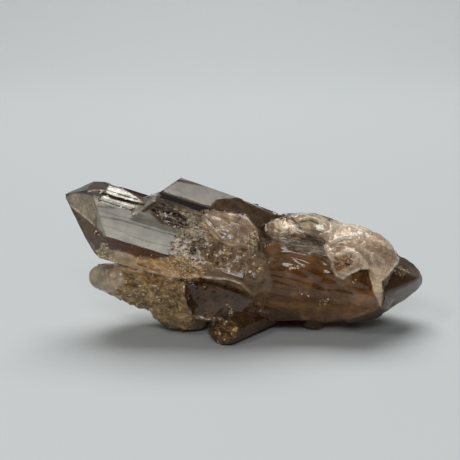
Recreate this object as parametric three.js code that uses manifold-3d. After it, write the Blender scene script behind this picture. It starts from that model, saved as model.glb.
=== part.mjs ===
// A smoky quartz cluster, about 105 mm long, lying on its side: parallel crystals with
// their points to the left, a pale broken crown and a dark second point to the right.
// Millimetres, +Z up, X along the cluster, the viewer at -Y. It is one grown piece, so
// every crystal and lump below is joined into one solid.

import * as THREE from "three";
import { ConvexGeometry } from "three/addons/geometries/ConvexGeometry.js";
import { mergeVertices } from "three/addons/utils/BufferGeometryUtils.js";
import Module from "manifold-3d";

const wasm = await Module();
wasm.setup();

// The shapes are laid out in the viewer's frame: u to the right, v up and w towards the
// viewer, who looks down on the cluster by VIEW_TILT.
const VIEW_TILT = 15.5;
// The shared c-axis falls to the right by AXIS_DIP, and the first prism face looks up from
// the viewer's direction by ROLL.
const AXIS_DIP = 17;
const ROLL = 10;
// Angle between the c-axis of quartz and the normal of a point face.
const POINT_ANGLE = 51.8;
// Point of the first crystal.
const TIP = [-52.2, 39.8, 6.4];

const rad = THREE.MathUtils.degToRad;
const vec = (p) => new THREE.Vector3(...p);
const union = (solids) => solids.reduce((all, next) => all.add(next));

// Manifold solid of a closed three.js geometry.
function solidOf(geometry) {
  const bare = geometry.clone();
  for (const name of Object.keys(bare.attributes)) {
    if (name !== "position") bare.deleteAttribute(name);
  }
  const merged = mergeVertices(bare, 1e-5);
  return new wasm.Manifold(
    new wasm.Mesh({
      numProp: 3,
      vertProperties: merged.attributes.position.array,
      triVerts: new Uint32Array(merged.index.array),
    }),
  );
}

// Convex solid on the inner side of every plane {normal, reach}.
function insideOf(planes) {
  const corners = [];
  const m = new THREE.Matrix3();
  for (let i = 0; i < planes.length; i++) {
    for (let j = i + 1; j < planes.length; j++) {
      for (let k = j + 1; k < planes.length; k++) {
        const [a, b, c] = [planes[i], planes[j], planes[k]];
        m.set(...a.normal.toArray(), ...b.normal.toArray(), ...c.normal.toArray());
        if (Math.abs(m.determinant()) < 1e-6) continue;
        const p = new THREE.Vector3(a.reach, b.reach, c.reach).applyMatrix3(m.invert());
        if (planes.some((q) => q.normal.dot(p) > q.reach + 1e-6)) continue;
        if (corners.some((q) => q.distanceTo(p) < 1e-4)) continue;
        corners.push(p);
      }
    }
  }
  return solidOf(new ConvexGeometry(corners));
}

// A flat face: a point on it, the direction of its level line as the viewer sees it, and
// how far it leans back from the viewer, up for a positive lean and down for a negative.
function face([through, along, lean]) {
  const normal = new THREE.Vector3(
    -Math.sin(rad(along)) * Math.sin(rad(lean)),
    Math.cos(rad(along)) * Math.sin(rad(lean)),
    Math.cos(rad(lean)),
  );
  return { normal, reach: normal.dot(vec(through)) };
}

// A broken block with flat faces.
const block = (faces) => insideOf(faces.map(face));

// A quartz crystal. sides holds the distance of each prism face from the c-axis, starting
// with the one that faces the viewer and going up and over; caps says how far each point
// face lies outside the tip; length is where the other end is cut, inside the cluster; cuts
// are broken faces.
function crystal({
  tip,
  sides,
  caps = [0, 0, 0, 0, 0, 0],
  length,
  dip = AXIS_DIP,
  yaw = 0,
  roll = ROLL,
  cuts = [],
}) {
  const turn = new THREE.Matrix4()
    .makeRotationY(rad(yaw))
    .premultiply(new THREE.Matrix4().makeRotationZ(rad(-dip)));
  const along = new THREE.Vector3(1, 0, 0).applyMatrix4(turn);
  const planes = cuts.map(face);
  const add = (normal, reach) => planes.push({ normal, reach: reach + normal.dot(vec(tip)) });
  add(along, length);
  sides.forEach((reach, i) => {
    const angle = rad(roll + 60 * i);
    const out = new THREE.Vector3(0, Math.sin(angle), Math.cos(angle)).applyMatrix4(turn);
    add(out, reach);
    const point = out.clone().multiplyScalar(Math.sin(rad(POINT_ANGLE)));
    point.addScaledVector(along, -Math.cos(rad(POINT_ANGLE)));
    add(point, caps[i]);
  });
  return insideOf(planes);
}

// Smooth value noise from -1 to 1 on a lattice of unit cells.
function noise(p, seed) {
  const cell = [p.x, p.y, p.z].map(Math.floor);
  const f = [p.x - cell[0], p.y - cell[1], p.z - cell[2]].map((t) => t * t * (3 - 2 * t));
  const corner = (i, j, k) => {
    const s = Math.sin((cell[0] + i) * 127.1 + (cell[1] + j) * 311.7 + (cell[2] + k) * 74.7 + seed * 53.3);
    return 2 * (s * 43758.5453 - Math.floor(s * 43758.5453)) - 1;
  };
  const mix = THREE.MathUtils.lerp;
  const row = (j, k) => mix(corner(0, j, k), corner(1, j, k), f[0]);
  return mix(mix(row(0, 0), row(1, 0), f[1]), mix(row(0, 1), row(1, 1), f[1]), f[2]);
}

// A rough lump: a ball stretched to radii, turned by lean about w, with lumps of two sizes.
function lump(centre, radii, { lean = 0, rough = 1, grain = 5, seed = 1, detail = 8 } = {}) {
  const geometry = new THREE.IcosahedronGeometry(1, detail);
  geometry.scale(...radii).rotateZ(rad(lean));
  const at = geometry.attributes.position;
  const p = new THREE.Vector3();
  for (let i = 0; i < at.count; i++) {
    p.fromBufferAttribute(at, i);
    const coarse = noise(p.clone().divideScalar(grain), seed);
    const fine = 1 - 2 * Math.abs(noise(p.clone().divideScalar(grain * 0.45), seed + 7));
    p.addScaledVector(p.clone().normalize(), rough * (coarse + 0.45 * fine));
    at.setXYZ(i, p.x, p.y, p.z);
  }
  geometry.translate(...centre);
  return solidOf(geometry);
}

// The solid behind a smooth closed outline, from w = back to w = front.
function behind(outline, back, front) {
  const points = outline.map(([u, v]) => new THREE.Vector3(u, v, 0));
  const curve = new THREE.CatmullRomCurve3(points, true, "centripetal");
  const shape = new THREE.Shape();
  shape.setFromPoints(curve.getPoints(outline.length * 3).slice(0, -1));
  const geometry = new THREE.ExtrudeGeometry(shape, { depth: front - back, bevelEnabled: false });
  geometry.translate(0, 0, back);
  return solidOf(geometry);
}

// A step along the shared axis from the first point.
const onAxis = (step) => [
  TIP[0] + step * Math.cos(rad(AXIS_DIP)),
  TIP[1] - step * Math.sin(rad(AXIS_DIP)),
  TIP[2],
];

// The first crystal, with its point at the far left.
function mainCrystal() {
  return crystal({
    tip: TIP,
    sides: [10, 5.2, 7.5, 13, 12.8, 13.8],
    caps: [5, 0, 0, -0.5, 0.5, 2.4],
    length: 62,
    cuts: [[[-40.8, 32.7, 17.2], -79, -46]],
  });
}

// A thin growth layer that wedges out over the first crystal, with its end as a narrow
// bright strip.
function growthLayer() {
  return block([
    [[-32.5, 32.2, 16.9], -AXIS_DIP, 0],
    [[-28.4, 35.6, 17], 42, 46],
    [[-30.2, 36.1, 12], 57, 92],
    [[-26, 38.9, 16], 14, 84],
    [[-18, 40, 16], -20, 88],
    [[-20, 22, 10], -AXIS_DIP, -88],
    [[4, 30, 10], -80, 88],
    [[0, 30, 4], 0, 180],
  ]);
}

// The upper crystal, a step above the growth layer. Its underside is the dark step.
function upperCrystal() {
  return crystal({
    tip: onAxis(8.7),
    sides: [15.2, 18, 12, 5, 5, 3.3],
    caps: [9, 9, 9, 9, 9, 9],
    length: 54,
    cuts: [
      [[-20.9, 41.4, 20], 35.5, 94],
      [[-24.1, 38, 19], 86, 90],
      [[-17.8, 43.6, 19.4], -19.4, 88],
      [[6, 33, 17], -70, 35],
      [[-8, 36, 4], -30, 130],
    ],
  });
}

// Narrow ridges on the growth layer, along the axis.
function ridges() {
  const blades = [0, 1, 2, 3, 4].map((i) =>
    crystal({
      tip: [-26.4 + (i % 2) * 1.6 + 0.6 * i, 36.9 - 1.45 * i, 16.2],
      sides: [1.6, 0.6, 0.6, 1, 0.6, 0.6],
      length: 11.5 - 1.1 * i,
      dip: AXIS_DIP + 2 * i,
    }),
  );
  return union(blades);
}

// Growth steps along the upper edge of the first crystal, behind its point.
function crestSteps() {
  return union([
    crystal({ tip: [-42, 42.4, 4], sides: [4.2, 1.3, 1.5, 3, 3, 3], length: 17, dip: 21 }),
    crystal({ tip: [-43.5, 40, 11.5], sides: [2.6, 1.3, 1, 3, 3, 1.2], length: 15, dip: 15 }),
  ]);
}

// Etched pits scattered over the right part of the first crystal's front face. They spread
// by the golden angle, so that no two meet.
function pits() {
  const count = 16;
  const cuts = [];
  for (let i = 0; i < count; i++) {
    const turn = rad(137.5 * i);
    const out = Math.sqrt((i + 0.5) / count);
    const u = -6 + 11 * out * Math.cos(turn);
    const v = 21.8 - 0.3 * (u + 6) + 2.8 * out * Math.sin(turn);
    const size = 0.55 + 0.4 * ((i * 7) % 5) / 4;
    cuts.push(lump([u, v, 17], [size * 1.5, size, 1.6], { lean: 40 * i, rough: 0, detail: 0 }));
  }
  return union(cuts);
}

// A broken chip that stands a little proud of the middle, with a step at its lower left.
function chip() {
  return union([
    block([
      [[-6, 31, 18.8], -30, 6],
      [[-11.6, 33.9, 18], 65, 62],
      [[-3.4, 33.9, 18], -2, 70],
      [[-1.6, 31, 18.6], -84, 55],
      [[-12.3, 31, 18], -62, -60],
      [[-7.5, 26.6, 18], -44, -55],
      [[-3, 24.8, 18], -4, -60],
      [[-4, 30, 8], 0, 180],
    ]),
    block([
      [[-2, 29, 17.9], -38, 12],
      [[3, 31, 17], -60, 50],
      [[3.6, 26.5, 16.6], -85, 50],
      [[-1, 24.6, 17.4], -14, -50],
      [[-6, 27, 16], -70, -70],
      [[-3.4, 33, 16], 0, 75],
      [[0, 28, 8], 0, 180],
    ]),
  ]);
}

// The shoulder right of the upper crystal: a rounded bright lump and a small crystal that
// points to the right.
function shoulder() {
  return union([
    lump([10, 29, 6], [7.5, 4.6, 9], { lean: -16, rough: 0.7, grain: 3.6, seed: 11, detail: 7 }),
    block([
      [[17, 34.1, 6], 0, 82],
      [[21.3, 33.4, 7], -21, 72],
      [[25, 31.2, 8], -40, 66],
      [[19, 31, 12], -14, 34],
      [[18, 28.5, 13], -12, -2],
      [[26.6, 29.6, 9], -70, 62],
      [[11, 31, 8], 70, 80],
      [[20, 25, 8], -10, -88],
      [[20, 32, 1], -12, 122],
      [[18, 30, -4], 0, 180],
    ]),
  ]);
}

// The smooth right half.
function rightBody() {
  return block([
    [[14, 20, 15.2], -10, 6],
    [[20, 14, 15], -8, -12],
    [[18, 9.5, 13.2], -6, -42],
    [[24, 2.7, 4.5], 1, -86],
    [[38.5, 4, 3], 17, -76],
    [[44, 6.2, 1], 30, -74],
    [[4.6, 16, 14], 84, 78],
    [[6.2, 6.6, 9], -52, -62],
    [[16, 28.5, 10], -16, 58],
    [[14, 31, -2], -14, 86],
    [[40, 20, 10], -60, 32],
    [[43, 14, 4], -80, 62],
    [[43, 6.6, -2], 50, -80],
    [[10, 27, -10], -14, 128],
    [[20, 15, -14], -14, 172],
    [[40, 15, -9], -80, 138],
    [[24, 3, -7], 8, -126],
    [[2, 15, -8], 80, 118],
  ]);
}

// The dark second point at the right.
function rightPoint() {
  return block([
    [[46.7, 21.9, -3], -16, 68],
    [[51.4, 19.2, -3], -42, 64],
    [[53.6, 15.3, -3], -80, 72],
    [[52.4, 12.2, -3], 58, -70],
    [[47.5, 8.2, -3], 36, -66],
    [[41, 4.9, -2], 22, -72],
    [[45, 15, 8], -72, 28],
    [[46.7, 21.9, -3], -20, 122],
    [[53.6, 15.3, -3], -70, 120],
    [[47.5, 8.2, -3], 40, -126],
    [[41, 4.9, -2], 24, -116],
    [[44, 14, -13], -60, 172],
    [[36, 16, 0], 84, 90],
  ]);
}

// The pale broken crown: a crust with a scalloped lower edge that laps over the right body
// and ends in a drip.
function crown() {
  const outline = [
    [22.6, 25.8],
    [23.4, 28.4],
    [26, 32.5],
    [40, 33],
    [49, 25],
    [45.8, 19.6],
    [43.6, 17.8],
    [41, 15],
    [39.6, 12.6],
    [39.3, 8],
    [38.2, 10.5],
    [37.1, 12.6],
    [36.5, 16.8],
    [35.2, 18.2],
    [32, 17.5],
    [29.3, 15.8],
    [27.6, 15.1],
    [25.4, 16.8],
    [25.4, 19.2],
    [23.7, 21],
    [23.1, 23.7],
  ];
  const crust = lump([31.2, 18, 2], [15.8, 12.5, 15.6], { lean: -14, rough: 0.8, grain: 4.5, seed: 17, detail: 12 });
  return crust.intersect(behind(outline, -9, 30));
}

// The rough growth under the first crystal, with a rounded nub at its left end.
function lowerGrowth() {
  return union([
    lump([-29, 12.2, 2.6], [14, 6, 10], { lean: -22, rough: 0.7, grain: 4.5, seed: 3, detail: 9 }),
    lump([-20, 9.4, 2.6], [11.5, 8.4, 10.8], { lean: -28, rough: 0.8, grain: 4.5, seed: 4, detail: 9 }),
    lump([-15.6, 3.4, 0.6], [6.6, 3.8, 7.4], { lean: -4, rough: 0.4, grain: 3, seed: 6, detail: 6 }),
    lump([-41.3, 15.3, 5], [4.3, 3.9, 4.6], { lean: -20, rough: 0.2, grain: 4, seed: 5, detail: 6 }),
  ]);
}

// A smooth dark break under the middle.
function lowerBreak() {
  return block([
    [[-7, 9, 11.6], -10, -14],
    [[-12, 14, 11], -2, 50],
    [[-4.9, 13.6, 11], -15, 52],
    [[2.9, 9, 10], -80, 60],
    [[-1, 5, 10.4], 30, -55],
    [[-8, 3.3, 10.6], 2, -90],
    [[-15.8, 5, 11], -68, -50],
    [[-16.6, 11, 11.6], 86, 84],
    [[-6, 8, -4], 0, 180],
  ]);
}

// The small crystal that the cluster stands on, with its blunt end to the lower left.
function foot() {
  return crystal({
    tip: [-12, -2.2, 21],
    sides: [3.8, 3.7, 3.9, 3.8, 3.6, 3.9],
    caps: [9, 9, 9, 9, 9, 9],
    length: 30,
    dip: -20,
    yaw: 46,
    roll: 20,
    cuts: [
      [[-5.4, 0.2, 15], 80, 16],
      [[-7.6, 2, 14], 50, 52],
      [[-8, -1.6, 14], -52, -50],
    ],
  });
}

// Rounded growth under the right half and at the back, which the cluster rests on.
function underside() {
  return union([
    lump([20.9, 3.5, 0.8], [3.9, 3.9, 4.6], { rough: 0.3, grain: 4, seed: 9, detail: 5 }),
    lump([3, 8.7, -7], [12, 6.4, 6.5], { lean: -10, rough: 0.8, grain: 4.5, seed: 21, detail: 8 }),
  ]);
}

// Side crystals and a rough patch at the back, on the same axis.
function backGrowth() {
  return union([
    crystal({ tip: [-37, 30, -7], sides: [6, 5, 4.5, 4.5, 5, 5.5], length: 46 }),
    crystal({ tip: [-24, 22, -9], sides: [5, 4, 4.2, 4, 5, 5], length: 34, dip: 21, yaw: -5 }),
    crystal({ tip: [40, 22, -10], sides: [4, 3.6, 4, 4.4, 4, 4], length: 26, dip: AXIS_DIP + 180, yaw: 4 }),
    lump([27, 11, -10.5], [10, 6, 5], { lean: -8, rough: 0.9, grain: 4, seed: 23, detail: 6 }),
  ]);
}

// From the viewer's frame to the standing frame.
const toStanding = new THREE.Matrix4().makeBasis(
  new THREE.Vector3(1, 0, 0),
  new THREE.Vector3(0, Math.sin(rad(VIEW_TILT)), Math.cos(rad(VIEW_TILT))),
  new THREE.Vector3(0, -Math.cos(rad(VIEW_TILT)), Math.sin(rad(VIEW_TILT))),
);

function geometryOf(solid) {
  const { vertProperties, triVerts } = solid.getMesh();
  return new THREE.BufferGeometry()
    .setAttribute("position", new THREE.BufferAttribute(new Float32Array(vertProperties), 3))
    .setIndex(new THREE.BufferAttribute(new Uint32Array(triVerts), 1));
}

const grown = union([
  mainCrystal(),
  growthLayer(),
  upperCrystal(),
  ridges(),
  crestSteps(),
  chip(),
  shoulder(),
  rightBody(),
  rightPoint(),
  crown(),
  lowerGrowth(),
  lowerBreak(),
  foot(),
  underside(),
  backGrowth(),
]).subtract(pits());

// Set down on the floor, which is cut away, so each place it rests on is a small flat.
const standing = solidOf(geometryOf(grown).applyMatrix4(toStanding));
const floor = solidOf(new THREE.BoxGeometry(200, 200, 40).translate(0, 0, -20));
const resting = geometryOf(standing.subtract(floor));

// The origin is on the floor, under the middle of the cluster.
resting.computeBoundingBox();
const middle = resting.boundingBox.getCenter(new THREE.Vector3());
resting.translate(-middle.x, -middle.y, -resting.boundingBox.min.z);
resting.computeVertexNormals();

const quartz = new THREE.MeshStandardMaterial({ color: 0x6b5340, roughness: 0.12, metalness: 0 });
const cluster = new THREE.Mesh(resting, quartz);
cluster.name = "quartz_cluster";

const part = new THREE.Group();
part.add(cluster);

export default part;
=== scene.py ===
import math

import bmesh
import bpy
import numpy as np
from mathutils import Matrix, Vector, noise
from mathutils.bvhtree import BVHTree


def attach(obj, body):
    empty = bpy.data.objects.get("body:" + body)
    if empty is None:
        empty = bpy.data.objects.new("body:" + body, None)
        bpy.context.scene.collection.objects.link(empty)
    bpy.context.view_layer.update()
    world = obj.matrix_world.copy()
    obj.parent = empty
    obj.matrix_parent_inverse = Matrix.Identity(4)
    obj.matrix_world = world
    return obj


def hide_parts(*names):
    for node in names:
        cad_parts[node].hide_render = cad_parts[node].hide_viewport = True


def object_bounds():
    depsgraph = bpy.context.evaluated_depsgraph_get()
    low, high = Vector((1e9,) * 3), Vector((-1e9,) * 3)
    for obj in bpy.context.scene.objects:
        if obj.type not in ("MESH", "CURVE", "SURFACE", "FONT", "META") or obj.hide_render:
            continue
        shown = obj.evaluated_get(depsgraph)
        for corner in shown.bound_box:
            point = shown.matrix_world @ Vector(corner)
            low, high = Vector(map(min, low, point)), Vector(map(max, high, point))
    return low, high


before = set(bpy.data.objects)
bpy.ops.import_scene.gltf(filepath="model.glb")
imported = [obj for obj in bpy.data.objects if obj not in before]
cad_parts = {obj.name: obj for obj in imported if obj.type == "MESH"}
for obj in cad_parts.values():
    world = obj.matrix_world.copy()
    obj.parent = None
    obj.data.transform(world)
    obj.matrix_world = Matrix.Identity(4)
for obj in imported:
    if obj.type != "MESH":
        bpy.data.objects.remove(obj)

cad_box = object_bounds()

# The quartz cluster
# One natural specimen, about 105 mm long: smoky quartz crystals that grew side by side from
# a hot solution, with flat faces where they grew free and shell-like breaks where they were
# knocked off their rock. It is one piece, so one closed mesh stands for the solid.

MM = 0.001
# The cluster is seen from here, a little from above. Zones on it are outlined as they are seen,
# in dots across and down a frame of 460 by 460, where one dot is about 0.29 mm at the cluster.
# What is laid inside an outline is fixed to the surface, so it looks the same from any side.
VIEWPOINT = Vector((-0.004829, -0.297390, 0.1034))
VIEW_PITCH = math.radians(14)
VIEW_WIDTH = math.radians(25)
FRAME_MIDDLE = 230
DEPTHWAYS = Vector((0, math.cos(VIEW_PITCH), -math.sin(VIEW_PITCH)))
UPWARDS = Vector((0, math.sin(VIEW_PITCH), math.cos(VIEW_PITCH)))
# All the crystals share one axis, which falls to the right.
AXIS_DIP = math.radians(17)
ALONG_AXIS = Vector((math.cos(AXIS_DIP), 0, -math.sin(AXIS_DIP)))


def merged_solid(node):
    """The solid's loose triangles as one closed mesh."""
    solid = bmesh.new()
    solid.from_mesh(node.data)
    bmesh.ops.remove_doubles(solid, verts=solid.verts, dist=0.001 * MM)
    solid.faces.ensure_lookup_table()
    return solid


# Two triangles lie in one plane where the cosine of the angle between their normals is above
# this.
ONE_PLANE = 0.9999


def flat_faces(solid, least_area):
    """For each triangle, whether it is part of a flat face of at least that area."""
    flat = np.zeros(len(solid.faces), bool)
    seen = np.zeros(len(solid.faces), bool)
    for first in solid.faces:
        if seen[first.index]:
            continue
        seen[first.index] = True
        group, todo = [], [first]
        while todo:
            face = todo.pop()
            group.append(face)
            for edge in face.edges:
                for other in edge.link_faces:
                    if not seen[other.index] and other.normal.dot(first.normal) > ONE_PLANE:
                        seen[other.index] = True
                        todo.append(other)
        if sum(face.calc_area() for face in group) >= least_area:
            flat[[face.index for face in group]] = True
    return flat


def even_mesh(solid, cell):
    """The solid in even cells, with its sharp edges kept."""
    mesh = bpy.data.meshes.new("even")
    solid.to_mesh(mesh)
    carrier = bpy.data.objects.new("even", mesh)
    bpy.context.scene.collection.objects.link(carrier)
    grid = carrier.modifiers.new("grid", "REMESH")
    grid.mode = "SHARP"
    grid.octree_depth = 8
    grid.scale = max(carrier.dimensions) / (cell * 2**grid.octree_depth)
    ready = carrier.evaluated_get(bpy.context.evaluated_depsgraph_get())
    even = bpy.data.meshes.new_from_object(ready)
    bpy.data.objects.remove(carrier)
    bpy.data.meshes.remove(mesh)
    return even


CELL = 0.62 * MM
CRYSTAL_FACE_AREA = 7 * MM**2

solid = merged_solid(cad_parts["quartz_cluster"])
solid_tree = BVHTree.FromBMesh(solid)
solid_is_flat = flat_faces(solid, CRYSTAL_FACE_AREA)
crust = bmesh.new()
crust.from_mesh(even_mesh(solid, CELL))
solid.free()


def walls_around(edge):
    """The triangles round an edge that walls share, in pairs with solid quartz between them."""
    start, end = (v.co.copy() for v in edge.verts)
    along = (end - start).normalized()
    side = along.orthogonal().normalized()
    up = along.cross(side)
    around = []
    for loop in edge.link_loops:
        reach = loop.link_loop_prev.vert.co - start
        angle = math.atan2(reach.dot(up), reach.dot(side))
        around.append((angle, loop.vert != edge.verts[0], loop.face))
    around.sort(key=lambda wall: wall[0])
    pairs = []
    while around:
        second = next(n for n in range(len(around)) if around[n - 1][1] and not around[n][1])
        first = (second - 1) % len(around)
        pairs.append((around[first][2], around[second][2], (start, end)))
        around = [wall for n, wall in enumerate(around) if n not in (first, second)]
    return pairs


def part_pinches(mesh):
    """Parts two walls where they share an edge, so that each edge has two faces."""
    pinched = [e for e in mesh.edges if len(e.link_faces) > 2]
    bmesh.ops.subdivide_edges(
        mesh, edges=pinched, cuts=1, use_single_edge=True, use_grid_fill=True
    )
    bmesh.ops.triangulate(mesh, faces=[f for f in mesh.faces if len(f.verts) > 3])
    pinched = [e for e in mesh.edges if len(e.link_faces) > 2]
    pairs = [pair for edge in pinched for pair in walls_around(edge)]
    bmesh.ops.split_edges(mesh, edges=pinched)
    joined = {}

    def kept(vert):
        while joined.get(vert, vert) is not vert:
            vert = joined[vert]
        return vert

    for wall, partner, ends in pairs:
        for end in ends:
            ours = kept(min(wall.verts, key=lambda v: (v.co - end).length_squared))
            theirs = kept(min(partner.verts, key=lambda v: (v.co - end).length_squared))
            if ours is not theirs:
                joined[ours] = theirs
    bmesh.ops.weld_verts(mesh, targetmap={vert: kept(vert) for vert in list(joined)})


bmesh.ops.triangulate(crust, faces=crust.faces)
part_pinches(crust)


# Patterns with different seeds are read this many lumps apart.
SEED_SHIFT = 7.3
# The plain noise rarely passes 0.6, so this brings it to about -1 to 1.
NOISE_GAIN = 1.6
# Spreads the chips' middles, so that each chip draws a lean of its own.
LEAN_SPREAD = 9.7


class Surface:
    """The cluster's surface points.

    place is in millimetres and out is the way out of the quartz. across and down say where a
    point is seen, in dots, and facing is 1 where the surface faces the viewer and 0 edge-on.
    """

    def __init__(self, mesh):
        mesh.normal_update()
        mesh.verts.ensure_lookup_table()
        self.mesh = mesh
        self.place = np.array([v.co for v in mesh.verts]) / MM
        self.out = np.array([v.normal for v in mesh.verts])
        self.facing = -self.out @ np.array(DEPTHWAYS)
        sight = self.place - np.array(VIEWPOINT) / MM
        dots = FRAME_MIDDLE / math.tan(VIEW_WIDTH / 2) / (sight @ np.array(DEPTHWAYS))
        self.across = FRAME_MIDDLE + sight[:, 0] * dots
        self.down = FRAME_MIDDLE - sight @ np.array(UPWARDS) * dots

    def flatness(self):
        """1 on flat crystal faces and 0 on rough growth and breaks."""
        nearest = [solid_tree.find_nearest(v.co)[2] for v in self.mesh.verts]
        return solid_is_flat[nearest].astype(float)

    def scaled(self, size, seed, stretch=1.0):
        """The places in units of size, drawn out along the axis."""
        axis = np.array(ALONG_AXIS)
        drawn = self.place - np.outer(self.place @ axis, axis) * (1 - 1 / stretch)
        return (drawn / size + seed * SEED_SHIFT).tolist()

    def noise(self, size, seed, stretch=1.0):
        """Smooth noise from about -1 to 1 in lumps of that size."""
        return np.array([noise.noise(p) for p in self.scaled(size, seed, stretch)]) * NOISE_GAIN

    def shells(self, size, seed, stretch=1.0):
        """Shallow hollows of that size that meet in crests, from 0 in a hollow to about 1."""
        near = np.array([noise.voronoi(p)[0][:2] for p in self.scaled(size, seed, stretch)])
        return np.clip(near[:, 0] / np.maximum(near[:, 1], 1e-6), 0, 1) ** 2

    def chips(self, size, seed, stretch=1.0):
        """Flat chips of that size, each with its own tilt, from about -1 to 1."""
        heights = []
        for place in self.scaled(size, seed, stretch):
            seat = noise.voronoi(place)[1][0]
            lean = noise.cell_vector(seat * LEAN_SPREAD) * 2 - Vector((1, 1, 1))
            heights.append((Vector(place) - seat).dot(lean))
        return np.array(heights)

    def from_point(self, across, down):
        """How far each point is seen from a place in the frame, in dots."""
        return np.hypot(self.across - across, self.down - down)

    def move(self, depth):
        """Moves each point out by its depth in millimetres, inside the solid's box."""
        low, high = (np.array(corner) / MM for corner in cad_box)
        self.place = np.clip(self.place + self.out * depth[:, None], low, high)
        for vert, place in zip(self.mesh.verts, self.place * MM):
            vert.co = place


def ramp(value, low, high):
    """0 at low and 1 at high, with a smooth change between."""
    share = np.clip((value - low) / (high - low), 0, 1)
    return share * share * (3 - 2 * share)


def from_line(surface, line, closed=False):
    """How far each point is seen from a line, in dots."""
    ends = list(zip(line, line[1:] + line[:1])) if closed else list(zip(line, line[1:]))
    least = np.full(len(surface.across), 1e9)
    for (across_a, down_a), (across_b, down_b) in ends:
        run, fall = across_b - across_a, down_b - down_a
        share = (surface.across - across_a) * run + (surface.down - down_a) * fall
        share = np.clip(share / (run * run + fall * fall), 0, 1)
        away = surface.from_point(across_a + share * run, down_a + share * fall)
        least = np.minimum(least, away)
    return least


# A zone fades out this gently where the surface turns away from the viewer.
TURN = 0.12
# A ragged edge wanders in lumps of this many millimetres, with seeds from this one on.
RAGGED_SIZE = 1.6
RAGGED_SEED = 30


def turned_to_viewer(surface, front):
    """1 where the surface faces the viewer by more than front, and 0 where it turns away."""
    return ramp(surface.facing, front - TURN, front + TURN)


def within(surface, outline, soft=1.2, front=0.0, ragged=0.0, seed=0):
    """1 inside an outline and 0 outside it, with a soft or ragged edge.

    soft and ragged are in dots. A front below 0 lets the zone reach round to the far side.
    """
    inside = np.zeros(len(surface.across), bool)
    for (across_a, down_a), (across_b, down_b) in zip(outline, outline[1:] + outline[:1]):
        crosses = (down_a > surface.down) != (down_b > surface.down)
        fall = down_b - down_a if down_b != down_a else 1e-9
        meets = across_a + (surface.down - down_a) * (across_b - across_a) / fall
        inside ^= crosses & (surface.across < meets)
    inward = np.where(inside, 1, -1) * from_line(surface, outline, closed=True)
    if ragged:
        inward = inward + ragged * surface.noise(RAGGED_SIZE, RAGGED_SEED + seed)
    return ramp(inward, -soft, soft) * turned_to_viewer(surface, front)


def beside(surface, line, width, front=0.0):
    """1 along a line, falling to 0 at width dots from it."""
    near = 1 - ramp(from_line(surface, line), 0.25 * width, width)
    return near * turned_to_viewer(surface, front)


# Outlines of the zones, from the left point to the dark point at the right. The calm zones are
# where the front is flat crystal face, and the others are named for what is seen there.
CALM =[(50, 200), (80, 165), (150, 165), (270, 188), (297, 212), (272, 224), (262, 222),
        (255, 214), (216, 211), (200, 213), (186, 215), (176, 226), (172, 240), (190, 262),
        (200, 276), (142, 271), (112, 268), (100, 266), (60, 230)]
CALM_RIDGE = [(242, 186), (300, 204), (298, 216), (282, 218), (270, 226), (244, 214)]
NECK = [(100, 262), (124, 269), (127, 290), (114, 302), (101, 297)]
TOP_FACE = [(62, 196), (82, 182), (96, 177), (110, 177), (113, 182), (108, 188), (104, 197),
            (96, 198), (88, 194), (76, 193)]
POINT_FACE = [(62, 197), (76, 192.5), (88, 194), (97, 198), (100, 205), (95, 213), (95, 228),
              (86, 220), (74, 210)]
LOW_POINT_FACE = [(62, 200), (74, 210), (86, 219), (95, 227), (100, 236), (106, 246), (108, 264),
                  (98, 264), (78, 236)]
SPLINTERED_CORNER = [(96, 250), (101, 245), (112, 248), (117, 256), (113, 265), (104, 264)]
UPPER_SHARD = [(106, 192), (109, 184), (114, 183), (123, 188.5), (137, 197), (142, 202),
               (132, 201.5), (120, 198)]
LOWER_SHARD = [(98, 200), (104, 195), (112, 199), (124, 202), (138, 204.5), (131, 208.5),
               (113, 207)]
SHARD_GAP = [(106, 194), (112, 197.5), (124, 200), (136, 203), (144, 205)]
STEP_STRIP = [(127, 219), (135, 207), (147, 195), (158, 189), (160, 197), (149, 205), (138, 214)]
SATIN_FACE = [(96, 206), (101, 202), (113, 207), (130, 209), (128, 219), (140, 214), (150, 209),
              (152, 215), (161, 223), (178, 229), (176, 236), (170, 246), (168, 254), (150, 249),
              (130, 243), (112, 237), (104, 236), (97, 227)]
BAND = [(104, 236), (113, 237), (130, 242), (150, 248), (169, 253), (170, 258), (150, 258),
        (135, 256), (122, 251), (110, 247)]
AMBER_FOOT = [(134, 255), (150, 257), (170, 256), (174, 277), (150, 272), (140, 268)]
TAUPE_FOOT = [(108, 250), (122, 250), (136, 256), (142, 266), (143, 272), (125, 271), (110, 266)]
GOLD_CORNER = [(166, 256), (182, 254), (196, 259), (204, 266), (206, 277), (186, 280), (170, 276)]
RIDGES = [(149, 210), (157, 203), (166, 205), (178, 212), (186, 218), (187, 225), (178, 227),
          (164, 221), (152, 215)]
LEDGE = [(157, 193), (162, 192), (186, 200), (205, 206), (218, 210.5), (211, 212.5), (199, 213.5),
         (188, 209), (172, 203.5), (157, 199)]
UPPER_FACE = [(158, 192), (180, 176), (186, 175), (250, 194), (268, 202), (262, 210), (216, 211),
              (205, 206), (186, 200), (163, 192)]
SHADED_FACE = [(211, 210), (214, 203), (219, 199), (230, 196.5), (245, 197), (268, 203),
               (292, 213), (280, 217), (271, 223), (262, 224), (255, 215), (240, 213), (222, 212)]
CHIP = [(201, 212), (215, 210.5), (231, 212.5), (241, 214), (250, 220), (258, 230), (258, 242),
        (252, 249), (240, 246), (229, 245), (222, 241), (214, 236), (207, 229), (200, 221)]
CHIP_RIM_HIGHLIGHT = [(201, 222), (208, 230), (215, 236.5), (223, 241.5), (229, 245), (240, 246), (248, 249)]
CHIP_EDGE_HIGHLIGHT = [(231, 213), (231.5, 228)]
CHIP_PAINTED_GLINTS = [(246, 240), (249, 233), (255, 231), (257, 238), (256, 247), (251, 250), (246, 247)]
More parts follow.
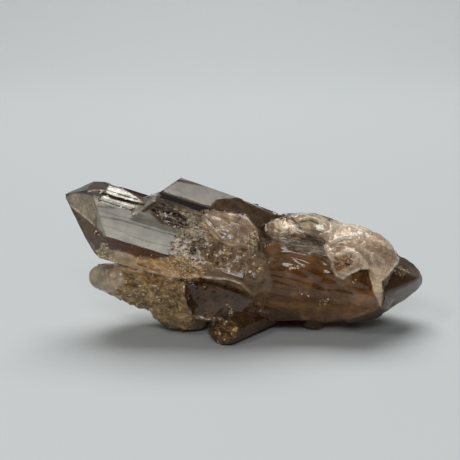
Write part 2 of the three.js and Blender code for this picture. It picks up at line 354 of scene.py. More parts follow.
RECESS = [(260, 226), (266, 224), (267, 232), (275, 240), (268, 244), (261, 238)]
ETCHED_GREY = [(166, 206), (200, 212.5), (208, 229), (216, 237), (206, 250), (196, 259),
               (186, 257), (168, 253), (170, 246), (176, 236), (179, 229), (188, 224), (186, 217)]
ETCHED_BROWN = [(208, 229), (222, 241), (240, 247), (252, 250), (264, 252), (268, 262), (262, 272),
                (250, 276), (236, 272), (220, 272), (204, 270), (196, 259), (206, 250)]
SMOOTH_FOOT = [(236, 272), (250, 276), (268, 262), (272, 285), (266, 305), (256, 308), (254, 298),
               (246, 292), (232, 286), (204, 278), (206, 271)]
SEAM = [(252, 242), (284, 244), (286, 312), (250, 312), (240, 290), (246, 276)]
LOWER_EDGE = [(140, 269.5), (152, 272), (165, 275), (180, 277.5), (190, 277.5), (200, 276),
              (214, 278), (229, 279), (240, 283), (250, 292)]
BREAK = [(186, 282), (198, 277.5), (213, 280), (232, 286), (248, 293), (256, 300), (254, 309),
         (243, 314), (230, 318), (207, 320), (192, 317), (184, 302)]
BREAK_RIM = [(183, 296), (186, 304), (190, 312), (196, 317), (207, 319.5), (222, 319)]
LOWER_GROWTH = [(104, 264), (112, 266), (142, 272), (186, 281), (184, 302), (192, 318), (192, 330),
                (175, 328), (140, 312), (118, 298), (106, 290)]
NUB = [(84, 272), (90, 267), (104, 264), (120, 270), (124, 282), (112, 292), (96, 294), (85, 288)]
FOOT = [(208, 326), (220, 318), (240, 312), (266, 306), (300, 309), (300, 322), (262, 325),
        (240, 342), (212, 344)]
FOOT_END = [(213, 325), (224, 320), (236, 323), (240, 332), (232, 342), (218, 342)]
BACK_GROWTH = [(255, 305), (300, 308), (326, 308), (326, 330), (255, 332)]
LUMP = [(266, 240), (265, 228), (274, 218), (291, 219), (306, 232), (306, 238), (292, 240)]
LUMP_PAINTED_HIGHLIGHT = [(274, 229), (277, 219), (292, 222), (303, 231), (295, 233), (283, 229)]
SMALL_CRYSTAL = [(291, 215), (303, 211), (318, 213), (328, 220), (338, 227), (330, 231),
                 (320, 238), (306, 234)]
CRYSTAL_PAINTED_HIGHLIGHT = [(316, 225), (323, 224.5), (324, 230), (317, 229.5)]
STREAKS = [(275, 241), (292, 240), (320, 237), (327, 243), (328, 256), (310, 254), (288, 250)]
BODY = [(264, 244), (275, 241), (292, 248), (328, 252), (340, 277), (372, 270), (380, 304),
        (396, 306), (330, 322), (256, 314), (266, 300), (270, 262)]
BODY_LOW = [(264, 268), (290, 268), (332, 270), (342, 278), (372, 272), (378, 290), (340, 296),
            (326, 306), (256, 312), (266, 300)]
BODY_AMBER = [(255, 300), (290, 301), (324, 304), (326, 314), (255, 316)]
CROWN = [(330, 220), (349, 222), (374, 230), (390, 240), (400, 250), (398, 263), (393, 269),
         (387, 275), (381.5, 282), (382, 299), (379, 305), (376, 298), (372.5, 290), (371.5, 277),
         (368, 269), (361, 268.5), (352, 272.5), (343, 278), (337, 276), (332.5, 268), (333, 262),
         (327, 255), (325, 248), (327, 242), (319, 236), (330, 230)]
CROWN_TOP = [(322, 236), (332, 221), (350, 222), (368, 229), (366, 240), (352, 240), (338, 240)]
CROWN_RIM_HIGHLIGHT = [(327, 243), (325, 249), (333, 262), (332.5, 268), (337, 275), (343, 277), (352, 272),
             (361, 268), (368, 268.5)]
CROWN_POCKET = [(335, 258), (342, 255), (351, 257), (353, 263), (345, 269), (337, 270)]
CROWN_SIDE_HIGHLIGHT = [(397, 252), (397, 263), (392, 269), (386, 275)]
DRIP = [(368, 266), (388, 266), (382, 282), (382, 298), (379, 305), (376, 298), (372, 288)]
DARK_POINT = [(398, 250), (409, 254), (424, 266), (426, 284), (416, 296), (390, 312), (372, 318),
              (340, 322), (380, 304), (383, 283), (393, 269)]
DARK_POINT_SHADED_RIM = [(398, 255), (409, 257), (420, 267), (423, 275), (421, 286), (415, 293)]
DARK_POINT_CHIP = [(394, 270), (398, 265), (406, 268), (409, 273), (402, 277), (396, 274)]
TOP_SHADED_RIM = [(64, 195), (82, 183.5), (96, 178.5), (110, 178.5), (122, 186), (148, 196)]
UPPER_SHADED_RIM = [(158, 192), (181, 177.5), (186, 177), (215, 187), (252, 197), (268, 203), (296, 213)]
CROWN_CRESTS = [
    [(330, 243), (345, 238), (352, 240), (358, 248), (366, 252), (378, 258), (385, 266)],
    [(349, 228), (351, 240)],
    [(372, 258), (379, 272), (380, 290)],
    [(360, 233), (376, 241), (390, 250)],
    [(337, 256), (348, 251), (358, 255), (366, 266)],
]
# Painted highlights: thin lines where a small edge catches the light.
PAINTED_HIGHLIGHT_LINES = [
    [(70, 205), (78, 211), (86, 217.5), (92, 223)],
    [(88, 191.5), (96, 190), (104, 190.5)],
    [(166, 205), (177, 210), (187, 216.5)],
    [(160, 214), (171, 217), (184, 223)],
    [(241, 214.5), (248, 219), (254, 227)],
    [(277, 221), (286, 219), (294, 223), (302, 229)],
    [(274, 229), (280, 233), (291, 231), (300, 233.5)],
    [(299, 219), (309, 216), (318, 219), (326, 225)],
]
# Small patches of painted glints, where a break inside the quartz shines.
PAINTED_GLINT_PATCHES = [
    [(93, 231), (97, 230), (98, 235), (94, 235)],
    [(284, 268), (292, 266), (304, 265), (303, 268), (292, 270)],
    [(300, 291), (308, 291), (308, 294), (301, 294)],
    [(320, 303), (323, 297), (329, 294), (328, 299), (323, 304)],
    [(346, 287), (352, 281), (357, 277), (357, 283), (350, 288)],
    [(146, 263), (154, 264), (159, 267), (150, 268)],
    [(205, 319), (214, 317), (216, 320), (207, 322)],
    [(226, 303), (229, 303), (234, 314), (231, 316)],
    [(325, 248), (331, 245), (333, 254), (328, 257)],
    [(222, 276), (228, 276), (230, 280), (223, 280)],
]
# Thin lines where an inner break shows dark.
DARK_LINES = [
    [(96, 233), (98, 240), (103, 246)],
    [(138, 264), (145, 266.5), (152, 268.5)],
    [(203, 213), (211, 222), (223, 236)],
    [(232, 228), (239, 219), (243, 214)],
    [(292, 222), (300, 228), (307, 236)],
    [(281, 237), (292, 235), (304, 239)],
    [(300, 222), (309, 220), (318, 224)],
    [(283, 254), (300, 251), (316, 254)],
    [(336, 265), (342, 262), (349, 265)],
    [(190, 287), (204, 282), (222, 285), (240, 292)],
    [(198, 301), (212, 296), (230, 298), (244, 304)],
]

# Fine cells where the surface is seen from the front.
FINE = [(60, 170), (215, 170), (300, 205), (430, 240), (430, 300), (330, 325), (190, 320),
        (80, 280)]
coarse = Surface(crust)
wanted = within(coarse, FINE, front=0.12) > 0.5
edges = [e for e in crust.edges if wanted[e.verts[0].index] and wanted[e.verts[1].index]]
bmesh.ops.subdivide_edges(crust, edges=edges, cuts=1)
bmesh.ops.triangulate(crust, faces=[f for f in crust.faces if len(f.verts) > 3])


def soften(mesh, chosen, times):
    """Rounds the chosen part of the surface, a little each time."""
    verts = [v for v, take in zip(mesh.verts, chosen) if take]
    for _ in range(times):
        bmesh.ops.smooth_vert(
            mesh, verts=verts, factor=0.5, use_axis_x=True, use_axis_y=True, use_axis_z=True
        )


def zone(outline, soft=1.2, **more):
    """The part of the surface that shows inside the outline."""
    return within(surface, outline, soft, **more)


def line(points, width, front=0.0):
    """The part of the surface that shows along the line."""
    return beside(surface, points, width, front)


# The neck between the nub and the lower growth is filled out by this many millimetres.
NECK_FILL = 1.3

# The solid's facets are rounded: a little on rough growth, more on the etched foot of the first
# crystal, and until none shows on the smooth right half and the neck.
surface = Surface(crust)
ridge_top = zone(CALM_RIDGE, front=-1.2)
calm = np.maximum(zone(CALM, front=-0.35), ridge_top)
worn = np.maximum(zone(ETCHED_BROWN), ridge_top)
flatness = np.where(np.maximum(calm, worn) > 0.5, 1.0, surface.flatness())
body = zone(BODY, 3.0, front=-0.5)
neck = zone(NECK, 3.0, front=-0.9)
soften(crust, flatness < 0.5, 3)
soften(crust, worn > 0.5, 25)
soften(crust, zone(STEP_STRIP, 3.0) > 0.2, 10)
soften(crust, zone(SEAM, 3.0, front=-0.5) > 0.2, 60)
soften(crust, zone(DARK_POINT, front=-0.9) > 0.2, 10)
soften(crust, body > 0.2, 90)
surface.place = np.array([v.co for v in crust.verts]) / MM
surface.move(neck * NECK_FILL)
soften(crust, neck > 0.2, 60)

# The rounded surface is measured again, and its zones are found on it.
surface = Surface(crust)
body = zone(BODY, 3.0, front=-0.5)
flatness = flatness * (1 - body)
crown = zone(CROWN, 0.7, front=-0.9)
dark_point = zone(DARK_POINT, front=-0.9) * (1 - crown)
shards = np.maximum(zone(UPPER_SHARD, 0.8, front=-0.4), zone(LOWER_SHARD, 0.8, front=-0.4))
etched_grey = zone(ETCHED_GREY, 2.5, ragged=2.0)
etched_brown = zone(ETCHED_BROWN, 2.5, ragged=2.0, seed=1)
ridges = zone(RIDGES, 1.0)
broken = zone(BREAK, 1.0)
lower = zone(LOWER_GROWTH, 1.5)
nub = zone(NUB, 2.0, front=-0.9)
rough = (1 - flatness) * (1 - body) * (1 - nub)
# The lowest tenth of a millimetre stays as it is, so that the flats it rests on stay flat.
above_floor = ramp(surface.place[:, 2], 0.1, 1.2)

# How far each point moves out of the quartz, in millimetres.
depth = np.zeros(len(surface.across))
# Rough growth and breaks: flat chips of two sizes, shell-like hollows and a fine grain.
depth += rough * (1 - crown) * 0.3 * surface.chips(2.9, 1)
depth += rough * 0.13 * surface.chips(1.1, 2)
depth -= rough * 0.2 * (1 - surface.shells(2.2, 3)) * ramp(surface.noise(9, 2), -0.6, 0.5)
depth += rough * 0.08 * surface.noise(0.8, 4)
# The smooth right half: broad waves, with low ripples along it.
depth += body * (0.3 + 0.35 * surface.noise(8, 9, stretch=1.6))
depth += body * 0.18 * surface.noise(1.5, 10, stretch=4)
# Crystal faces: faint growth steps along the axis.
depth -= flatness * 0.05 * ramp(surface.noise(2.2, 5, stretch=9), -0.1, 0.25)
# Etched face: winding pits, half as deep where it is brown.
worm = np.abs(surface.noise(1.3, 7, stretch=1.8) + 0.4 * surface.noise(0.5, 6))
pits = np.maximum(etched_grey, 0.5 * etched_brown) * (1 - ramp(worm, 0.05, 0.2))
depth -= pits * 0.16
# Ridges: wavy steps that run along the axis.
ridge_steps = ridges * ramp(surface.noise(0.62, 12, stretch=4.5), -0.1, 0.3)
depth -= ridge_steps * 0.25
# Splintered zone: steps that run down to the right, 6 dots apart. The 50 keeps the count of
# steps above 0, so that each step rises the same way.
slant = surface.down - 0.32 * surface.across + 1.6 * surface.noise(3, 8, stretch=3)
splinters = np.modf(slant / 6.0 + 50)[0]
depth -= shards * (0.35 * splinters + 0.12 * surface.chips(1.2, 13))
# The lower growth is knobbly.
depth += lower * (1 - broken) * 0.4 * surface.noise(2.0, 16)
# The break: shallow rings around the place where it was struck.
rings = np.sin(surface.from_point(180, 268) / 1.4 + 2.5 * surface.noise(4, 15))
depth += broken * 0.07 * rings
# The crown and its drip stand out as a crust with a crisp edge and a few crests.
crests = np.maximum.reduce([line(crest, 3.0, front=-0.5) for crest in CROWN_CRESTS])
depth += crown * (0.35 + 0.35 * crests)
# The bright lower edge of the first crystal, and the rim of the break.
depth += line(LOWER_EDGE, 2.2) * 0.22
depth += line(BREAK_RIM, 2.4) * 0.3
# The recess beside the lump, and the groove under the upper crystal.
depth -= zone(RECESS, 1.5) * 0.5
depth -= zone(LEDGE, 0.8, front=-0.5) * 0.7
# The dark point's lower side is full.
depth += dark_point * 0.8 * ramp(surface.down, 266, 284)
# The upper crystal's right end leans down, away from the light that its face mirrors.
shaded = zone(SHADED_FACE, 0.8)
depth -= shaded * np.clip(surface.down - 198, 0, 20) * 0.05
depth += shaded * 0.12 * surface.noise(3, 18, stretch=2)
surface.move(depth * above_floor)
crust.normal_update()


def srgb(red, green, blue):
    """A colour given as 0 to 255 screen values, as linear light."""
    return np.array([((c / 255 + 0.055) / 1.055) ** 2.4 for c in (red, green, blue)])


# The quartz's browns, as they look in a medium thickness. Times 1.5 is the same brown in a
# thinner or more shattered place, and times 0.5 in a thicker one.
SMOKE = srgb(132, 106, 80)
TAUPE = srgb(162, 144, 120)
STONE = srgb(188, 180, 160)
WHITE = srgb(250, 246, 232)
NEAR_BLACK = srgb(42, 22, 12)
RED_BROWN = srgb(116, 70, 38)
AMBER = srgb(180, 136, 80)
PAINTED_GLINT_GOLD = srgb(255, 234, 198)
OLIVE = srgb(152, 126, 84)
ROSE = srgb(176, 148, 122)
BEIGE = srgb(208, 182, 150)
CREAM = srgb(250, 228, 200)
UMBER = srgb(126, 90, 54)
DEEP_UMBER = srgb(102, 66, 28)
SLATE = srgb(102, 86, 72)


class Finish:
    """The colour and finish of each surface point.

    tint is the colour. clear is how much light goes through and frost how rough the skin is.
    crumb is broken texture, glints are painted glints, small spots painted bright where a break
    would throw light back, pits are dark winding etch marks, veins are pale healed cracks, and
    lined is how much the growth lines along the axis show. Each runs from 0 to 1.
    """

    KINDS = ("clear", "frost", "crumb", "glints", "pits", "veins", "lined")

    def __init__(self, count, colour):
        self.tint = np.tile(colour, (count, 1))
        for kind in self.KINDS:
            setattr(self, kind, np.zeros(count))

    def lay(self, mask, colour=None, **kinds):
        """Lays a colour and a finish where the mask is."""
        if colour is not None:
            self.tint += mask[:, None] * (colour - self.tint)
        for kind, value in kinds.items():
            layer = getattr(self, kind)
            layer += mask * (value - layer)


# Uneven masks: the first thins out the painted highlights on edges, patches are a few millimetres
# wide, and swirls are finer and drawn out along the axis.
everywhere = np.ones(len(surface.across))
highlight_breakup = ramp(surface.noise(1.5, 17), -0.5, 0.3)
patches = ramp(surface.noise(3, 19), 0.0, 0.8)
swirls = ramp(surface.noise(1.1, 20, stretch=2.5), 0.0, 0.5)

# Each line lies over the ones before it. First the whole cluster, its rough growth and its
# flat faces.
finish = Finish(len(surface.across), SMOKE)
finish.lay(everywhere, clear=0.55, frost=0.2, veins=0.2, crumb=0.2, lined=0.2)
finish.lay(rough, OLIVE, clear=0.35, frost=0.2, crumb=0.6, veins=0.3, lined=0.0)
finish.lay(flatness, SMOKE, clear=0.6, frost=0.12, crumb=0.0, veins=0.15, lined=0.5)
# The smooth right half, darker below, with drawn-out streaks under the small crystal.
finish.lay(body, UMBER * 1.6, clear=0.5, frost=0.14, crumb=0.0, veins=0.2, lined=0.0)
finish.lay(body * patches * 0.6, SMOKE * 1.7)
finish.lay(zone(BODY_LOW, 4) * (1 - patches * 0.4), DEEP_UMBER * 1.5)
finish.lay(zone(BODY_AMBER, 2), AMBER * 0.6)
finish.lay(zone(STREAKS, 2.5), TAUPE * 0.9, frost=0.35, veins=0.8, lined=1.0)
# The lower growth, its cloudy nub and the dark break, which pales to its lower right.
# A few painted glints on the lower growth.
finish.lay(lower, OLIVE * 1.3, clear=0.45, frost=0.05, crumb=0.25, glints=0.02, veins=0.9)
finish.lay(lower * patches * 0.7, OLIVE * 2.0)
finish.lay(lower * swirls * 0.5, UMBER * 0.8)
finish.lay(nub, TAUPE * 2.0, clear=0.45, frost=0.2, crumb=0.0, veins=0.1)
finish.lay(broken, DEEP_UMBER * 0.8, clear=0.5, frost=0.15, crumb=0.0, glints=0.0, veins=0.1)
# A painted sheen of reflection makes the break paler towards its lower right.
finish.lay(broken * ramp(surface.down + 0.3 * surface.across, 358, 376) * 0.6, SMOKE)
# The faces of the left point.
finish.lay(zone(POINT_FACE, ragged=1.5), TAUPE * 1.3, clear=0.3, frost=0.3, veins=0.3, lined=1.0)
finish.lay(zone(LOW_POINT_FACE), UMBER * 0.9, clear=0.5, frost=0.1, veins=0.4)
# Painted glints on the splintered corner.
finish.lay(zone(SPLINTERED_CORNER, ragged=3.0), CREAM * 0.8, frost=0.1, crumb=1.0, glints=0.4)
finish.lay(zone(TOP_FACE, front=-0.9), SLATE * 0.8, clear=0.5, frost=0.45, veins=0.15)
# The foot of the first crystal's front: taupe, amber, gold, and the red-brown band above them.
finish.lay(zone(TAUPE_FOOT, 2), BEIGE * 1.2, clear=0.25, frost=0.15)
amber_foot = zone(AMBER_FOOT, 4, ragged=2.0)
# A few painted glints on the amber.
finish.lay(amber_foot, BEIGE * 1.5, clear=0.3, frost=0.1, glints=0.06, veins=0.5, lined=0.8)
finish.lay(amber_foot * (1 - patches) * 0.8, AMBER * 1.7)
finish.lay(amber_foot * swirls * 0.35, RED_BROWN * 1.4)
gold_corner = zone(GOLD_CORNER, 4, ragged=3.0)
# Painted glints on the gold corner.
finish.lay(gold_corner, AMBER * 1.4, clear=0.2, frost=0.1, crumb=1.0, glints=0.6)
finish.lay(gold_corner * patches * (1 - swirls), CREAM * 1.1)
finish.lay(gold_corner * swirls * 0.5, UMBER * 1.2)
finish.lay(zone(BAND, 2, ragged=1.5), RED_BROWN * 0.85, clear=0.4, frost=0.1, veins=0.3)
# The etched right end of the first crystal's front, grey above and brown below.
finish.lay(zone(SMOOTH_FOOT, 3), SMOKE * 1.2, clear=0.35, frost=0.25, veins=0.2, crumb=0.0)
finish.lay(etched_grey, TAUPE * 1.7, clear=0.15, frost=0.35, crumb=0.2, pits=0.9)
finish.lay(etched_grey * ramp(surface.across, 182, 204), TAUPE * 1.7, clear=0.25)
# A few painted glints on the brown.
finish.lay(etched_brown, SMOKE * 1.7, clear=0.3, frost=0.25, crumb=0.2, pits=0.4, glints=0.06)
finish.lay(etched_brown * patches * 0.5, OLIVE * 1.6)
# The satin front of the first crystal, paler below, and the strip where a growth layer ends.
satin = zone(SATIN_FACE)
finish.lay(satin, STONE * 0.6, clear=0.2, frost=0.45, crumb=0.0, veins=0.0, lined=0.4)
finish.lay(satin * ramp(surface.down - 0.3 * surface.across, 178, 200), STONE * 1.02)
finish.lay(zone(STEP_STRIP, 1.5), STONE * 0.75, clear=0.3, frost=0.3, veins=0.3, lined=1.0)
# The upper crystal's mirror-like front, its shaded right end and the dark step under it.
finish.lay(zone(UPPER_FACE, 0.8), TAUPE * 0.75, clear=0.25, frost=0.3, veins=0.0, lined=0.1)
finish.lay(zone(SHADED_FACE, 0.8), SMOKE * 0.75, clear=0.4, frost=0.2, veins=0.3, lined=0.2)
# The step is painted near-black, as shade under the overhang.
finish.lay(zone(LEDGE, 0.6, front=-0.5), NEAR_BLACK * 0.7, clear=0.05, frost=1.0, veins=0.0)
# The dark ridges, and the two white splintered strips with a dark gap between them.
finish.lay(ridge_steps, NEAR_BLACK, clear=0.3, frost=0.1)
finish.lay(shards, WHITE, clear=0.1, frost=0.15, crumb=0.5, veins=0.0)
finish.lay(shards * ramp(splinters, 0.7, 0.85), SLATE)
finish.lay(line(SHARD_GAP, 1.6), SLATE * 0.6)
# The broken chip in the middle.
finish.lay(zone(CHIP, 0.8), ROSE * 1.25, clear=0.3, frost=0.12, crumb=0.2, veins=0.6, pits=0.0)
# Painted highlights along the chip's rim and down an edge across it.
finish.lay(line(CHIP_RIM_HIGHLIGHT, 1.6) * highlight_breakup, BEIGE * 1.4)
finish.lay(line(CHIP_EDGE_HIGHLIGHT, 2.6) * 0.7, BEIGE * 1.3)
# The bright lump, the small crystal that points right, and the recess beside them.
finish.lay(zone(LUMP, 1), ROSE, clear=0.35, frost=0.1, crumb=0.3, veins=0.8)
# A painted highlight on the lump.
finish.lay(zone(LUMP_PAINTED_HIGHLIGHT, 1.5, ragged=2.5), CREAM, clear=0.1)
finish.lay(zone(SMALL_CRYSTAL, 1), TAUPE * 1.5, clear=0.35, frost=0.1, crumb=0.1, veins=0.9)
# The recess is painted dark, as shade.
finish.lay(zone(RECESS, 1.5), UMBER * 0.4, clear=0.3, frost=0.1)
# The pale broken crown: its bright top, a pocket, its crests, its edge and its drip.
finish.lay(crown, ROSE * 1.3, clear=0.2, frost=0.3, crumb=0.25, veins=0.35, glints=0.0)
# Its top is partly its own pale crust and partly painted brighter, as lit from above, with a few
# painted glints.
crown_top = crown * zone(CROWN_TOP, 3, front=-0.9, ragged=2.5)
finish.lay(crown_top, CREAM * 0.85, clear=0.1, crumb=0.6, glints=0.1)
finish.lay(crown * zone(CROWN_POCKET, 1.5, ragged=1.5), UMBER * 1.2, clear=0.4, veins=1.0)
# Painted highlights on the crests, along the edge and down the side.
finish.lay(crown * crests * 0.6, CREAM * 0.95)
finish.lay(line(CROWN_RIM_HIGHLIGHT, 2.2) * (0.4 + 0.6 * highlight_breakup), CREAM * 0.95, clear=0.2)
finish.lay(line(CROWN_SIDE_HIGHLIGHT, 3.0), CREAM * 0.9, clear=0.2)
finish.lay(crown * zone(DRIP, 2), BEIGE * 1.4, clear=0.2)
# The dark point, and the chip beside the crown.
finish.lay(dark_point, UMBER * 0.45, clear=0.3, frost=0.5, veins=0.2, crumb=0.0)
# The rim is painted near-black, as shade.
finish.lay(line(DARK_POINT_SHADED_RIM, 4), NEAR_BLACK)
# The chip carries painted glints.
finish.lay(zone(DARK_POINT_CHIP, 1, ragged=1.5), SMOKE * 0.8, crumb=1.0, glints=0.3, frost=0.1)
# The foot crystal, and the growth that shows behind it.
finish.lay(zone(FOOT, front=-0.9), UMBER * 0.55, clear=0.4, frost=0.08, crumb=0.2, veins=0.3)
# A few painted glints on the foot's end.
finish.lay(zone(FOOT_END, 2), UMBER * 0.8, veins=1.0, glints=0.08)
# The growth behind is painted dark, as shade under the body.
finish.lay(zone(BACK_GROWTH, front=-0.9) * (1 - body), RED_BROWN * 0.5, clear=0.4)
# Painted highlights on edges and breaks that catch the light and on the small crystal, and painted
# glints on the chip.
finish.lay(line(LOWER_EDGE, 1.6) * (0.3 + 0.7 * highlight_breakup), CREAM * 0.9, clear=0.2)
finish.lay(line(BREAK_RIM, 2.0) * highlight_breakup * 0.6, BEIGE, clear=0.2, glints=0.1)
finish.lay(zone(CHIP_PAINTED_GLINTS, ragged=2.0), SMOKE, clear=0.2, crumb=1.0, glints=0.75)
finish.lay(zone(CRYSTAL_PAINTED_HIGHLIGHT, 0.7), WHITE, clear=0.0)
# The upper rims, where the quartz is seen through at a slant and looks dark, painted near-black as
# shade.
finish.lay(line(TOP_SHADED_RIM, 3.0, front=-0.9), NEAR_BLACK * 1.5)
finish.lay(line(UPPER_SHADED_RIM, 3.0, front=-0.9), NEAR_BLACK * 1.5)
# Painted highlight lines, dark lines, patches of painted glints and the floors of the pits.
for points in PAINTED_HIGHLIGHT_LINES:
    finish.lay(line(points, 1.1) * (0.2 + 0.6 * highlight_breakup), CREAM, clear=0.1)
for points in DARK_LINES:
    finish.lay(line(points, 1.2) * 0.7, NEAR_BLACK, clear=0.3)
for outline in PAINTED_GLINT_PATCHES:
    finish.lay(zone(outline, 2.0, ragged=1.5), frost=0.05, crumb=0.6, glints=0.45)
# The floors of the pits are painted near-black, as shade in the hollows.
finish.lay(pits * 0.9, NEAR_BLACK * 1.3)

cluster_mesh = bpy.data.meshes.new("smoky_quartz_cluster")
crust.to_mesh(cluster_mesh)
crust.free()
for kind in Finish.KINDS:
    layer = cluster_mesh.attributes.new(kind, "FLOAT", "POINT")
    layer.data.foreach_set("value", getattr(finish, kind).astype(np.float32))
layer = cluster_mesh.attributes.new("tint", "FLOAT_COLOR", "POINT")
opaque = np.ones((len(finish.tint), 1))
layer.data.foreach_set("color", np.hstack([finish.tint, opaque]).astype(np.float32).ravel())
cluster = bpy.data.objects.new("smoky_quartz_cluster", cluster_mesh)
bpy.context.scene.collection.objects.link(cluster)


def node_maker(tree):
    """A short way to add a node to a tree and set its inputs."""

    def add(kind, settings=None, **inputs):
        node = tree.nodes.new("ShaderNode" + kind)
        for name, value in (settings or {}).items():
            setattr(node, name, value)
        for name, value in inputs.items():
            place = int(name[1:]) if name[0] == "_" else name.replace("_", " ")
            if isinstance(value, bpy.types.NodeSocket):
                tree.links.new(value, node.inputs[place])
            else:
                node.inputs[place].default_value = value
        return node

    return add


def smoky_quartz():
    """Brown quartz, see-through, with frosted skin, etch marks, healed cracks and painted glints.
    """
    material = bpy.data.materials.new("smoky_quartz")
    material.use_nodes = True
    tree = material.node_tree
    tree.nodes.clear()
    add = node_maker(tree)

    def kind(name, output="Fac"):
        return add("Attribute", {"attribute_name": name}).outputs[output]

    def spread(value, low, high, least, most):
        return add("MapRange", Value=value, _1=low, _2=high, _3=least, _4=most).outputs[0]

    def times(first, second):
        return add("Math", {"operation": "MULTIPLY"}, _0=first, _1=second).outputs[0]

    def less(first, second):
        return add("Math", {"operation": "SUBTRACT"}, _0=first, _1=second).outputs[0]

    def thread(value, width):
        """1 along the winding lines where a noise passes its middle."""
        away = add("Math", {"operation": "ABSOLUTE"}, _0=less(value, 0.5)).outputs[0]
        return spread(away, 0.0, width, 1.0, 0.0)

    def fade(share, value):
        """1 where the share is 0, and the value where it is 1."""
        return add("Mix", Factor=share, _2=1.0, _3=value).outputs[0]

    def blend(share, first, second):
        colours = {"_6": first, "_7": second}
        return add("Mix", {"data_type": "RGBA"}, Factor=share, **colours).outputs[2]

    # Patterns. Scales are in lumps to a metre, so the clouds are about 4 mm wide and the grain
    # is about 0.5 mm. Growth lines and folds are drawn out along the crystals' axis.
    place = add("TexCoord").outputs["Object"]
    turned = add("Mapping", Vector=place, Rotation=(0, -AXIS_DIP, 0)).outputs[0]
    drawn_out = add("Mapping", Vector=turned, Scale=(150, 1900, 1900)).outputs[0]
    half_drawn = add("Mapping", Vector=turned, Scale=(260, 700, 700)).outputs[0]
    lines = add("TexNoise", Vector=drawn_out, Scale=1.0, Detail=3.0, Roughness=0.6).outputs[0]
    cloud = add("TexNoise", Vector=place, Scale=230.0, Detail=3.0, Roughness=0.55).outputs[0]
    grain = add("TexNoise", Vector=place, Scale=1900.0, Detail=3.0, Roughness=0.65).outputs[0]
    fold = add("TexNoise", Vector=half_drawn, Scale=1.0, Detail=4.0, Roughness=0.6).outputs[0]
    etch = add("TexNoise", Vector=place, Scale=1100.0, Detail=2.0, Roughness=0.5).outputs[0]
    jolt = add("TexNoise", Vector=place, Scale=1700.0, Detail=2.0).outputs["Color"]
    jolt = add("VectorMath", {"operation": "SCALE"}, _0=jolt, Scale=0.0009).outputs[0]
    jolted = add("VectorMath", {"operation": "ADD"}, _0=place, _1=jolt).outputs[0]
    glint_cells = add("TexVoronoi", Vector=jolted, Scale=1500.0)
    facets = add("TexVoronoi", Vector=place, Scale=900.0)

    # Colour: clouds, growth lines and grain make the tint lighter and darker.
    shade = spread(cloud, 0.3, 0.7, 0.66, 1.34)
    shade = times(shade, fade(kind("lined"), spread(lines, 0.3, 0.7, 0.7, 1.3)))
    shade = times(shade, fade(kind("crumb"), spread(grain, 0.3, 0.7, 0.65, 1.35)))
    colour = add("VectorMath", {"operation": "SCALE"}, _0=kind("tint", "Color"), Scale=shade)
    colour = colour.outputs[0]

    # Healed cracks are pale threads and etch marks dark ones.
    vein = times(thread(fold, 0.06), kind("veins"))
    pale = add("VectorMath", {"operation": "SCALE"}, _0=colour, Scale=2.0).outputs[0]
    colour = blend(vein, colour, blend(0.2, pale, (*BEIGE, 1)))
    mark = times(thread(etch, 0.06), kind("pits"))
    colour = blend(times(mark, 0.8), colour, (*NEAR_BLACK, 1))

    # Painted glints: spots painted amber to pale gold, in as large a share of the cells as glints
    # says.
    chance = add("SeparateColor", Color=glint_cells.outputs["Color"]).outputs
    share = add("Math", {"operation": "GREATER_THAN"}, _0=kind("glints"), _1=chance[0]).outputs[0]
    glint_spot = times(share, spread(glint_cells.outputs["Distance"], 0.3, 0.7, 1.0, 0.0))
    shine = spread(chance[1], 0.1, 0.4, 0.0, 1.0)
    colour = blend(glint_spot, colour, blend(shine, (*(AMBER * 1.6), 1), (*PAINTED_GLINT_GOLD, 1)))

    # Less light goes through veins, painted glints and clouds.
    clear = less(kind("clear"), times(vein, 0.15))
    clear = times(clear, spread(glint_spot, 0.0, 1.0, 1.0, 0.2))
    clear = times(clear, spread(cloud, 0.3, 0.7, 1.2, 0.8))

    # Relief too fine for the mesh: broken facets of about 1 mm, growth lines and grain.
    lean = add("VectorMath", {"operation": "SUBTRACT"}, _0=facets.outputs["Color"], _1=(0.5,) * 3)
    seat = add("VectorMath", {"operation": "SUBTRACT"}, _0=place, _1=facets.outputs["Position"])
    tilt = add("VectorMath", {"operation": "DOT_PRODUCT"}, _0=seat.outputs[0], _1=lean.outputs[0])
    tilt = times(tilt.outputs["Value"], 1000.0)
    relief = add(
        "Bump", Strength=times(kind("crumb"), 0.9), Distance=0.001, Height=tilt
    ).outputs[0]
    relief = add(
        "Bump", Strength=times(kind("lined"), 0.6), Distance=0.00008, Height=lines, Normal=relief
    ).outputs[0]
    relief = add(
        "Bump", Strength=times(kind("crumb"), 0.7), Distance=0.00012, Height=grain, Normal=relief
    ).outputs[0]
    quartz = add(
        "BsdfPrincipled",
        Base_Color=colour,
        Roughness=spread(kind("frost"), 0.0, 1.0, 0.03, 0.6),
        IOR=1.55,
        Transmission_Weight=clear,
        Normal=relief,
    )
    smoke = add("VolumeAbsorption", Color=(0.62, 0.46, 0.28, 1), Density=120.0)
    output = add("OutputMaterial")
    tree.links.new(quartz.outputs[0], output.inputs["Surface"])
    tree.links.new(smoke.outputs[0], output.inputs["Volume"])
    return material


cluster_mesh.materials.append(smoky_quartz())
for polygon in cluster_mesh.polygons:
    polygon.use_smooth = True
cluster_mesh.set_sharp_from_angle(angle=math.radians(30))
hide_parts("quartz_cluster")
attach(cluster, "root")

# Floor
# A plain pale studio floor that curves up into a backdrop behind the cluster.

FLOOR_SIDE = 1.6
FLOOR_FRONT = -1.2
FLOOR_BACK = 0.7
CURVE_RADIUS = 0.5

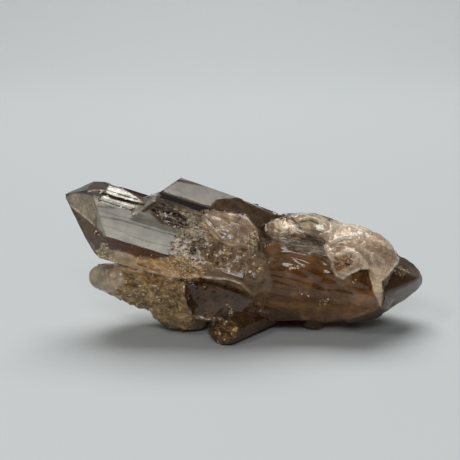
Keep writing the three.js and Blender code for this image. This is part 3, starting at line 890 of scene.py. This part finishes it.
floor_bm = bmesh.new()
front_corners = [floor_bm.verts.new((x, FLOOR_FRONT, 0)) for x in (-FLOOR_SIDE, FLOOR_SIDE)]
front_edge = floor_bm.edges.new(front_corners)
grown = bmesh.ops.extrude_edge_only(floor_bm, edges=[front_edge])["geom"]
back_verts = [g for g in grown if isinstance(g, bmesh.types.BMVert)]
back_edge = [g for g in grown if isinstance(g, bmesh.types.BMEdge)]
bmesh.ops.translate(floor_bm, verts=back_verts, vec=(0, FLOOR_BACK - FLOOR_FRONT, 0))
bmesh.ops.spin(
    floor_bm,
    geom=back_edge + back_verts,
    cent=(0, FLOOR_BACK, CURVE_RADIUS),
    axis=(1, 0, 0),
    angle=math.radians(80),
    steps=24,
)
floor_mesh = bpy.data.meshes.new("floor")
floor_bm.to_mesh(floor_mesh)
floor_bm.free()
for polygon in floor_mesh.polygons:
    polygon.use_smooth = True
floor = bpy.data.objects.new("floor", floor_mesh)
bpy.context.scene.collection.objects.link(floor)
paper = bpy.data.materials.new("pale_floor")
paper.use_nodes = True
shader = paper.node_tree.nodes["Principled BSDF"]
shader.inputs["Base Color"].default_value = (0.62, 0.65, 0.65, 1)
shader.inputs["Roughness"].default_value = 0.85
floor_mesh.materials.append(paper)

# Light
# A dim pale room, a broad soft light from above and behind, a softbox in front, which the
# satin front face mirrors, and a small light from the left, which gives the glossy breaks
# their highlights.

world = bpy.data.worlds.new("pale_room")
world.use_nodes = True
background = world.node_tree.nodes["Background"]
background.inputs["Color"].default_value = (0.93, 0.97, 1.0, 1)
background.inputs["Strength"].default_value = 0.055
bpy.context.scene.world = world

CLUSTER_MIDDLE = Vector((0, 0, 0.02))


def softbox(name, place, width, height, power):
    """An area light that points at the middle of the cluster, its power in watts."""
    lamp = bpy.data.lights.new(name, "AREA")
    lamp.shape = "RECTANGLE"
    lamp.size = width
    lamp.size_y = height
    lamp.energy = power
    light = bpy.data.objects.new(name, lamp)
    light.location = place
    aim = CLUSTER_MIDDLE - Vector(place)
    light.rotation_euler = aim.to_track_quat("-Z", "Y").to_euler()
    bpy.context.scene.collection.objects.link(light)


softbox("overhead", (0.0, 0.6, 1.25), width=1.1, height=0.9, power=16.5)
softbox("front", (-0.04, -0.52, 0.38), width=0.28, height=0.14, power=0.76)
softbox("window", (-0.3, -0.3, 0.45), width=0.1, height=0.1, power=0.35)

# Camera
# At the viewpoint from which the zones are outlined.

lens = bpy.data.cameras.new("camera")
lens.sensor_width = 36.0
lens.lens = lens.sensor_width / 2 / math.tan(VIEW_WIDTH / 2)
lens.clip_start = 0.01
camera = bpy.data.objects.new("camera", lens)
camera.location = VIEWPOINT
camera.rotation_euler = (math.radians(90) - VIEW_PITCH, 0, 0)
bpy.context.scene.collection.objects.link(camera)
bpy.context.scene.camera = camera
bpy.context.scene.view_settings.view_transform = "Standard"
